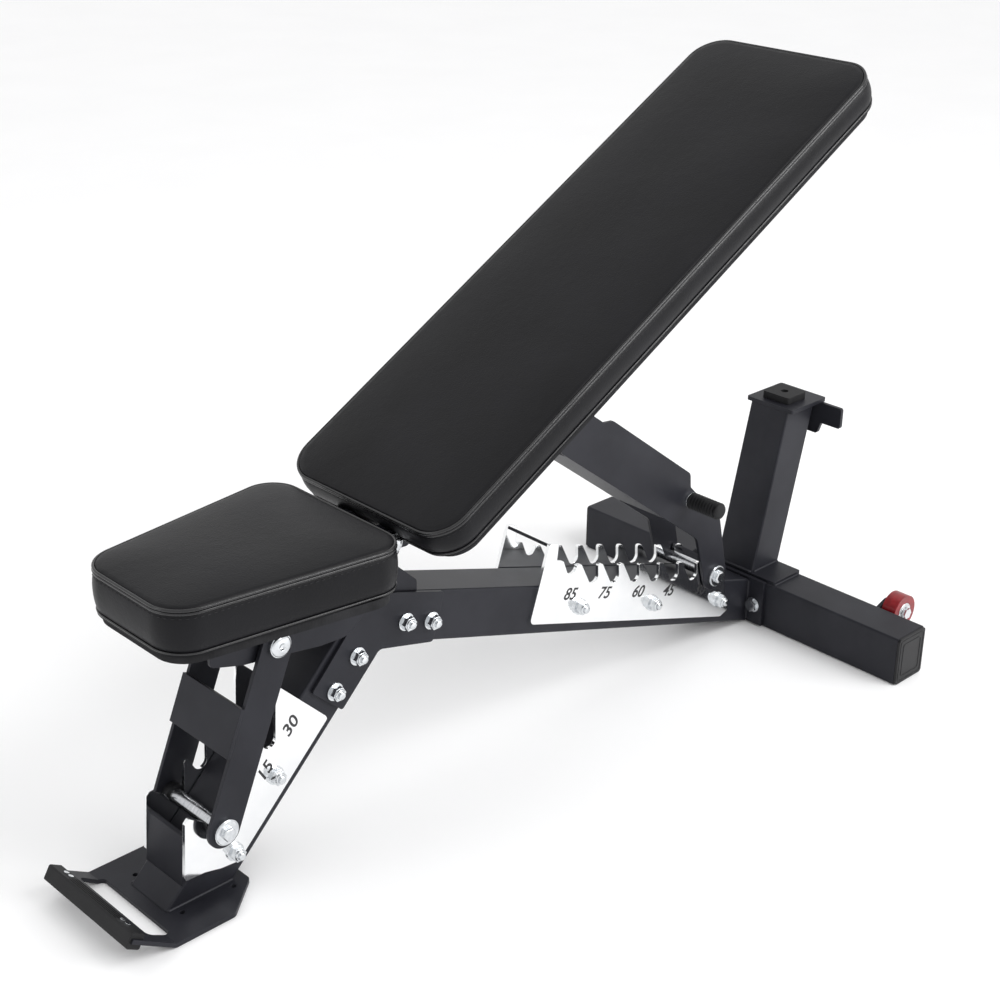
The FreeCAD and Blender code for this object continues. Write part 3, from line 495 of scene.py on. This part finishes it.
class Cushion:
    """One upholstered pad in its own frame: x along, y across, z up from the board's bottom.

    The cover has a top panel, a side band between two seams, and a rim turned under the pad.
    """

    SPACING = 0.004
    PIPING_RADIUS = 0.0021
    RIM_RADIUS = 0.0015

    def __init__(self, name, node, body, place_at, corners, bottom, low_seam, top_seam, crown,
                 held_end, give):
        """held_end, the end meant to stay put along x when the other end gives way, is not used."""
        self.name = name
        self.held_end = held_end
        self.give = give
        self.node = node
        self.body = body
        self.place_at = place_at
        self.bottom = bottom
        self.low_seam = low_seam
        self.top_seam = top_seam
        self.crown = crown
        self.loop = rounded_loop(corners, self.SPACING)
        self.normals = outward(self.loop)
        xs = [p.x for p in self.loop]
        reach = max(abs(p.y) for p in self.loop)
        self.ridge = (min(xs) + reach, max(xs) - reach)
        if self.ridge[0] > self.ridge[1]:
            self.ridge = (sum(self.ridge) / 2,) * 2

    def ring(self, inset, height):
        return [Vector((p.x - n.x * inset, p.y - n.y * inset, height))
                for p, n in zip(self.loop, self.normals)]

    def toward_ridge(self, ring, share, height):
        """Move a ring's points a share of the way to the pad's middle line."""
        moved = []
        for point in ring:
            x = min(max(point.x, self.ridge[0]), self.ridge[1])
            moved.append(Vector((point.x + (x - point.x) * share, point.y * (1 - share), height)))
        return moved

    def side_rings(self):
        """From the rim under the pad, up the side band, to the top seam."""
        base = self.bottom
        rings = [self.ring(0.010, base), self.ring(0.004, base + 0.0006),
                 self.ring(0.0008, base + 0.003),
                 self.ring(0.0, self.low_seam - 0.0035), self.ring(0.0026, self.low_seam)]
        steps = 8
        for k in range(steps + 1):
            t = k / steps
            swell = math.sin(math.pi * t) ** 0.7 * 0.0028
            height = self.low_seam + 0.003 + (self.top_seam - self.low_seam - 0.007) * t
            rings.append(self.ring(0.0002 - swell, height))
        rings.append(self.ring(0.0030, self.top_seam))
        return rings

    def top_rings(self):
        """From the top seam, over the rolled edge, to the crown."""
        edge = self.ring(0.0030, self.top_seam)
        lift = self.top_seam + 0.0022
        rings = [self.ring(0.0014, lift), self.ring(0.0040, lift + 0.0024)]
        for share in (0.04, 0.07, 0.11, 0.16, 0.22, 0.29, 0.37, 0.46, 0.56, 0.67, 0.78, 0.89, 1.0):
            rise = self.crown * (1 - (1 - share) ** 3.2)
            rings.append(self.toward_ridge(edge, share, lift + 0.0024 + rise))
        return rings

    def soften(self, point, around, pull):
        """Slow waves of the foam, and puckers as strong as the seam's pull on this ring."""
        if point.z < self.bottom + 0.002:
            return point
        wave = noise.noise(Vector((point.x * 9, point.y * 9, point.z * 14))) * 0.0011
        drift = noise.noise(Vector((around * 6, 3.1, 0)))
        pucker = math.sin(around * 310 + drift * 9) * 0.00030 * pull
        if point.z > self.top_seam + 0.003:
            return point + Vector((0, 0, wave + pucker))
        outwards = Vector((point.x - sum(self.ridge) / 2, point.y, 0)).normalized()
        return point + Vector((0, 0, pucker)) + outwards * wave * 0.6

    def cover(self):
        """The skin of the pad; puckers are gone a finger's width from the top seam."""
        under = [(self.toward_ridge(self.ring(0.010, self.bottom), share, self.bottom), 0.0)
                 for share in (1.0, 0.6, 0.25)]
        side = [(ring, math.exp((ring[0].z - self.top_seam) / 0.008))
                for ring in self.side_rings()]
        top = [(ring, math.exp(-1.1 * k)) for k, ring in enumerate(self.top_rings())]
        shaped = [[self.place_at @ self.soften(p, i * self.SPACING, pull)
                   for i, p in enumerate(ring)] for ring, pull in under + side + top]
        build = Build()
        build.loft(shaped, caps=False)
        obj = build.finish(self.name + "_cushion", MATERIALS["pad_vinyl"], self.body, "pad_vinyl")
        self.squeeze(obj)
        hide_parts(self.node)

    def squeeze(self, obj):
        """Gives the piece its own copy of its mesh; the foam is not pressed back."""
        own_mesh(obj)

    def bead(self, label, inset, height, radius):
        build = Build()
        up = self.place_at.to_3x3() @ Vector((0, 0, 1))
        path = [self.place_at @ p for p in self.ring(inset, height)]
        build.tube(path, radius, up, segments=10)
        self.squeeze(build.finish("%s_%s" % (self.name, label), PIPING_VINYL, self.body, "pad_vinyl"))

    def stitches(self, label, inset, height, length=0.0042, gap=2):
        """A row of short raised stitches along the loop."""
        build = Build()
        ring = self.ring(inset, height)
        count = len(ring)
        for i in range(0, count - 1, gap):
            along = (ring[(i + 1) % count] - ring[i]).normalized()
            side = Vector((self.normals[i].x, self.normals[i].y, 0))
            rings = []
            for k in range(5):
                t = k / 4
                size = 0.00042 * math.sin(math.pi * (0.12 + 0.76 * t))
                centre = ring[i] + along * (t - 0.5) * length
                rings.append([self.place_at @ (centre + (side * math.cos(a)
                                                         + Vector((0, 0, 1)) * math.sin(a)) * size)
                              for a in (math.tau * s / 6 for s in range(6))])
            build.loft(rings)
        self.squeeze(build.finish("%s_%s" % (self.name, label), THREAD, self.body, "pad_vinyl"))

    def make(self):
        self.cover()
        self.bead("piping_upper", 0.0004, self.top_seam + 0.0018, self.PIPING_RADIUS)
        self.bead("piping_lower", 0.0002, self.top_seam - 0.0022, self.PIPING_RADIUS)
        self.bead("rim_piping", 0.0006, self.low_seam, self.RIM_RADIUS)
        self.stitches("band_stitches", -0.0012, self.top_seam - 0.0075)


def make_cushions():
    low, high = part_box("seat_pad")
    board_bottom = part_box("seat_board")[0][2]
    rear_overhang = 0.008
    front_half = 0.0896
    rear_half = high[1]
    length = high[0] - low[0] + rear_overhang
    seat_place = Matrix.Translation((low[0], 0, board_bottom))
    Cushion("seat", "seat_pad", "seat", seat_place,
            [(0, -front_half, 0.046), (length, -rear_half, 0.038), (length, rear_half, 0.038),
             (0, front_half, 0.046)],
            bottom=0.0121, low_seam=0.0150, top_seam=high[2] - board_bottom, crown=0.0065,
            held_end=0.0, give=0.019).make()
    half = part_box("back_pad")[1][1]
    Cushion("back", "back_pad", "backrest", BACK_FRAME,
            [(0, -half, 0.045), (BACK_LENGTH, -half, 0.045), (BACK_LENGTH, half, 0.045),
             (0, half, 0.045)],
            bottom=0.0121, low_seam=0.0160, top_seam=0.053, crown=0.0060,
            held_end=BACK_LENGTH, give=0.016).make()


# ------------------------------------------------------------------ hardware

def hex_profile(reach, radius):
    """A hexagon head with a domed, chamfered end, as a six-sided lathe profile."""
    return [(0, radius), (reach * 0.72, radius), (reach * 0.9, radius * 0.93), (reach, radius * 0.8),
            (reach, 0)]


def thread_profile(start, end, radius, pitch=0.0015):
    """A bolt's thread, drawn as rings, with a chamfered tip."""
    profile = [(start, radius)]
    along = start
    while along + pitch < end - 0.001:
        profile += [(along + pitch * 0.5, radius + 0.00035), (along + pitch, radius - 0.00015)]
        along += pitch
    return profile + [(end - 0.0005, radius - 0.0002), (end, radius - 0.0012), (end, 0)]


def make_lock_nuts():
    """Nylon-insert collars and thread ends on the frame's nuts."""
    collars, rings, tips = Build(), Build(), Build()
    for low, high in islands("frame_nuts"):
        centre = Vector(((low.x + high.x) / 2, low.y, (low.z + high.z) / 2))
        axis = Vector((0, NEAR, 0))
        collars.lathe(centre, axis, [(-0.001, 0.0078), (0.0008, 0.0077), (0.0022, 0.0070),
                                     (0.0026, 0.0062), (0.0022, 0.0056)])
        rings.lathe(centre, axis, [(0.0012, 0.0060), (0.0021, 0.0058), (0.0021, 0.0052)])
        tips.lathe(centre, axis, thread_profile(0.0, 0.0055, 0.0050))
    collars.finish("nut_collars", MATERIALS["zinc_hardware"], "frame", "zinc_hardware")
    rings.finish("nut_inserts", MATERIALS["black_plastic"], "frame", "black_plastic")
    tips.finish("bolt_threads", MATERIALS["zinc_hardware"], "frame", "zinc_hardware")


def make_head(name, node, body, radius=0.0095, reach=0.006, washer=0.016):
    """A washer face and a hexagon head on both ends of a bolt that crosses the bench."""
    low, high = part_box(node)
    middle = mid(node)
    for side_name, side in SIDES:
        edge = low[1] if side == NEAR else high[1]
        centre = Vector((middle.x, edge, middle.z))
        axis = (0, side, 0)
        build = Build()
        build.lathe(centre, axis, [(-0.001, washer), (0.0008, washer), (0.0014, washer * 0.96),
                                   (0.0014, 0)])
        build.lathe(centre + Vector(axis) * 0.0012, axis, hex_profile(reach, radius), segments=6,
                    turn=0.3)
        build.finish("%s_%s" % (name, side_name), MATERIALS["zinc_hardware"], body,
                     "zinc_hardware", smooth=False)


def make_domes(name, node, body, radius=0.0125, socket=0.0045):
    """Low domed cap screws with a socket, over the plain discs of a node."""
    build = Build()
    for low, high in islands(node):
        side = NEAR if low.y < 0 else FAR
        edge = low.y if side == NEAR else high.y
        centre = Vector(((low.x + high.x) / 2, edge, (low.z + high.z) / 2))
        build.lathe(centre, (0, side, 0),
                    [(-0.001, radius), (0.0012, radius * 0.98), (0.0026, radius * 0.82),
                     (0.0034, socket * 1.15), (0.0034, socket), (0.0012, socket * 0.95),
                     (0.0010, 0)])
    build.finish(name, MATERIALS["zinc_hardware"], body, "zinc_hardware")


def make_grip():
    """A ribbed rubber sleeve on the arm's handle rod."""
    low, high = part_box("handle_grip")
    length = high[1] - low[1]
    radius = (high[0] - low[0]) / 2
    centre = mid("handle_grip")
    centre.y = high[1]
    profile = [(0.0, radius * 0.62), (0.0, radius * 0.95), (0.002, radius)]
    ribs = 9
    step = (length - 0.008) / ribs
    for k in range(ribs):
        start = 0.003 + k * step
        profile += [(start + step * 0.15, radius), (start + step * 0.3, radius * 0.93),
                    (start + step * 0.7, radius * 0.93), (start + step * 0.85, radius)]
    profile += [(length - 0.003, radius), (length - 0.0006, radius * 0.86), (length, radius * 0.6),
                (length, 0)]
    build = Build()
    build.lathe(centre, (0, NEAR, 0), profile, segments=48)
    obj = build.finish("grip_sleeve", MATERIALS["black_rubber"], "back_arm", "black_rubber")
    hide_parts("handle_grip")


def make_wheel_faces():
    """Dished hub covers with a bearing seat on both faces of each wheel."""
    for name, body in (("wheel_hub_left", "wheel_left"), ("wheel_hub_right", "wheel_right")):
        low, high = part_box(name)
        centre = mid(name)
        radius = (high[0] - low[0]) / 2
        build = Build()
        for side, edge in ((NEAR, low[1]), (FAR, high[1])):
            face = Vector((centre.x, edge, centre.z))
            build.lathe(face, (0, side, 0),
                        [(-0.0006, radius), (0.0005, radius * 0.98), (0.0007, radius * 0.86),
                         (-0.0002, radius * 0.80), (-0.0002, radius * 0.60),
                         (0.0007, radius * 0.55), (0.0007, 0.0085), (-0.0006, 0.0080)],
                        segments=56)
        build.finish(name + "_face", MATERIALS["wheel_hub"], body, "wheel_hub")


def make_cap_rims():
    """Two raised rims on the face of each of the crossbar's end caps."""
    for low, high in islands("crossbar_caps"):
        side = NEAR if low.y < 0 else FAR
        edge = low.y if side == NEAR else high.y
        middle = (low + high) / 2
        half_x = (high.x - low.x) / 2
        half_z = (high.z - low.z) / 2
        build = Build()
        for shrink in (0.004, 0.011):
            loop = rounded_loop([(-half_x + shrink, -half_z + shrink, 0.004),
                                 (half_x - shrink, -half_z + shrink, 0.004),
                                 (half_x - shrink, half_z - shrink, 0.004),
                                 (-half_x + shrink, half_z - shrink, 0.004)], 0.003)
            path = [Vector((middle.x + p.x, edge, middle.z + p.y)) for p in loop]
            build.tube(path, 0.0007, Vector((0, side, 0)), segments=8)
        label = "near" if side == NEAR else "far"
        build.finish("cap_rim_" + label, MATERIALS["black_plastic"], "frame", "black_plastic")


def make_cover_ridges():
    """Grip ridges along the rubber cover over the foot plate's front edge."""
    centre = mid("foot_handle_cover")
    place_at = slope_frame(centre, 180.0 - FOOT_BEND)
    half = 0.0101
    build = Build()
    for offset in (-0.006, -0.002, 0.002, 0.006):
        path = [place_at @ Vector((offset, y * MM, -half)) for y in range(-50, 51, 5)]
        build.tube(path, 0.0008, Vector((0, 0, 1)), segments=8, loop=False)
    build.finish("cover_ridges", MATERIALS["black_rubber"], "frame", "black_rubber")


def make_rail_plugs():
    """Plastic plugs in the open ends of the rail under the back pad."""
    build = Build()
    for along, direction in ((0.020, -1), (0.850, 1)):
        for depth, half_y, half_z in ((0.0005, 0.0240, 0.0115), (0.0020, 0.0235, 0.0110)):
            loop = rounded_loop([(-half_y, -half_z, 0.003), (half_y, -half_z, 0.003),
                                 (half_y, half_z, 0.003), (-half_y, half_z, 0.003)], 0.002)
            rings = [[BACK_FRAME @ Vector((along + direction * reach, p.x, -0.0125 + p.y))
                      for p in loop] for reach in (-0.002, depth)]
            build.loft(rings)
    build.finish("rail_plugs", MATERIALS["black_plastic"], "backrest", "black_plastic", smooth=False)


def straight(start, end, spacing=0.0028):
    steps = max(2, round((end - start).length / spacing))
    return [start.lerp(end, k / steps) for k in range(steps + 1)]


def make_welds():
    """Rippled weld beads where frame members meet."""
    build = Build()
    up = Vector((0, 0, 1))
    low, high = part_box("post_base_plate")
    for y in (low[1], high[1]):
        build.tube(straight(Vector((low[0], y, low[2])), Vector((high[0] - 0.004, y, low[2]))),
                   0.0022, up, segments=8, loop=False, ripple=0.16)
    flange_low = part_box("rear_flange_plate")[0]
    for y in (-TUBE_FACE, TUBE_FACE):
        build.tube(straight(Vector((flange_low[0], y, 0.006)), Vector((flange_low[0], y, 0.072))),
                   WELD_RADIUS, Vector((1, 0, 0)), segments=8, loop=False, ripple=0.16)
    post_low, post_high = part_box("post_tube")
    for y in (post_low[1], post_high[1]):
        build.tube(straight(Vector((post_low[0] + 0.004, y, post_low[2])),
                            Vector((post_low[0] + 0.062, y, post_low[2]))),
                   WELD_RADIUS, up, segments=8, loop=False, ripple=0.16)
    build.tube(straight(Vector((post_low[0], -0.033, post_low[2])),
                        Vector((post_low[0], 0.033, post_low[2]))),
               WELD_RADIUS, up, segments=8, loop=False, ripple=0.16)
    leg_low, leg_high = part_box("leg_tube")
    foot_top = leg_low[2]
    for y in (leg_low[1], leg_high[1]):
        build.tube(straight(Vector((leg_low[0] + 0.002, y, foot_top)),
                            Vector((leg_low[0] + 0.097, y, foot_top))),
                   WELD_RADIUS, up, segments=8, loop=False, ripple=0.16)
    build.finish("weld_beads", WELD, "frame", "graphite_coat")


def make_labels():
    """Generic angle numbers on the outer faces of the four ladders."""
    spine = slope_frame(Vector((TOE_X, 0, SPINE_HEIGHT_AT_TOE)), SPINE_SLOPE)
    leg = slope_frame(Vector((TOE_X + LEG_FROM_TOE, 0, 0)), LEG_SLOPE)
    rows = [("back", spine, s * MM, 0.058, text)
            for s, text in ((767, "85"), (841, "75"), (917, "60"), (989, "45"), (1066, "30"))]
    rows += [("seat", leg, 0.139, 0.059, "15"), ("seat", leg, 0.201, 0.063, "30")]
    for node, place_at, along, up, text in rows:
        for side_name, side in SIDES:
            curve = bpy.data.curves.new("label_%s_%s_%s" % (node, text, side_name), "FONT")
            curve.body = text
            curve.size = LABEL_SIZE
            curve.shear = 0.25
            curve.offset = 0.0004
            curve.extrude = 0.00012
            curve.align_x = "CENTER"
            curve.align_y = "CENTER"
            curve.materials.append(INK)
            obj = bpy.data.objects.new(curve.name, curve)
            bpy.context.scene.collection.objects.link(obj)
            upright = Matrix.Rotation(math.pi / 2, 4, "X")
            if side == FAR:
                upright = Matrix.Rotation(math.pi, 4, "Z") @ upright
            on_face = Matrix.Translation((along, side * LADDER_FACE, up))
            obj.matrix_world = place_at @ on_face @ upright
            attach(obj, "frame")


# ------------------------------------------------------------------ stage, light, camera

def make_floor():
    bpy.ops.mesh.primitive_plane_add(size=30, location=(0, 0, -0.0006))
    floor = bpy.context.active_object
    floor.name = "floor"
    mat = material("floor_paper", Roughness=0.75)
    tint(mat, speckle(mat, 3.0, 3.0), (0.955, 0.955, 0.96), (0.97, 0.97, 0.975))
    floor.data.materials.append(mat)


def area_light(name, position, target, size, power):
    data = bpy.data.lights.new(name, "AREA")
    data.shape = "RECTANGLE"
    data.size = size[0]
    data.size_y = size[1]
    data.energy = power
    obj = bpy.data.objects.new(name, data)
    obj.location = position
    obj.rotation_euler = (Vector(target) - Vector(position)).to_track_quat("-Z", "Y").to_euler()
    bpy.context.scene.collection.objects.link(obj)


def make_lights():
    world = bpy.data.worlds.new("studio")
    bpy.context.scene.world = world
    world.use_nodes = True
    background = world.node_tree.nodes["Background"]
    background.inputs["Color"].default_value = (1, 1, 1, 1)
    background.inputs["Strength"].default_value = 0.97
    bpy.context.scene.view_settings.view_transform = "Standard"
    middle = (0, 0, 0.4)
    area_light("key", (0.9, -1.9, 2.8), middle, (1.6, 1.2), 26)
    area_light("left_strip", (-2.6, 0.8, 1.6), middle, (0.6, 1.6), 6)
    area_light("right_strip", (1.6, -2.8, 1.6), middle, (2.2, 0.45), 42)


def make_camera():
    """A long-lens view from the foot end and the handle side, a little from above."""
    data = bpy.data.cameras.new("camera")
    data.sensor_width = 36.0
    data.lens = 64.18
    obj = bpy.data.objects.new("camera", data)
    right = Vector((0.72156, -0.69225, 0.01167))
    up = Vector((0.28176, 0.30901, 0.90836))
    back = right.cross(up)
    turn = Matrix((right, up, back)).transposed().to_4x4()
    obj.matrix_world = Matrix.Translation((-1.49636, -1.54773, 1.34638)) @ turn
    bpy.context.scene.collection.objects.link(obj)
    bpy.context.scene.camera = obj


paint_frame()
make_cushions()
make_lock_nuts()
make_head("seat_roller_head", "seat_roller_bolt", "seat_arm")
make_head("back_roller_head", "back_roller_bolt", "back_arm")
make_head("arm_pin_head", "arm_pivot_pin", "backrest", radius=0.0085, reach=0.005, washer=0.0135)
make_domes("hinge_domes", "hinge_cap_screws", "frame")
make_domes("seat_pivot_domes", "seat_pivot_bolts", "seat", radius=0.0140)
make_grip()
make_wheel_faces()
make_cap_rims()
make_cover_ridges()
make_rail_plugs()
make_welds()
make_labels()
make_floor()
make_lights()
make_camera()
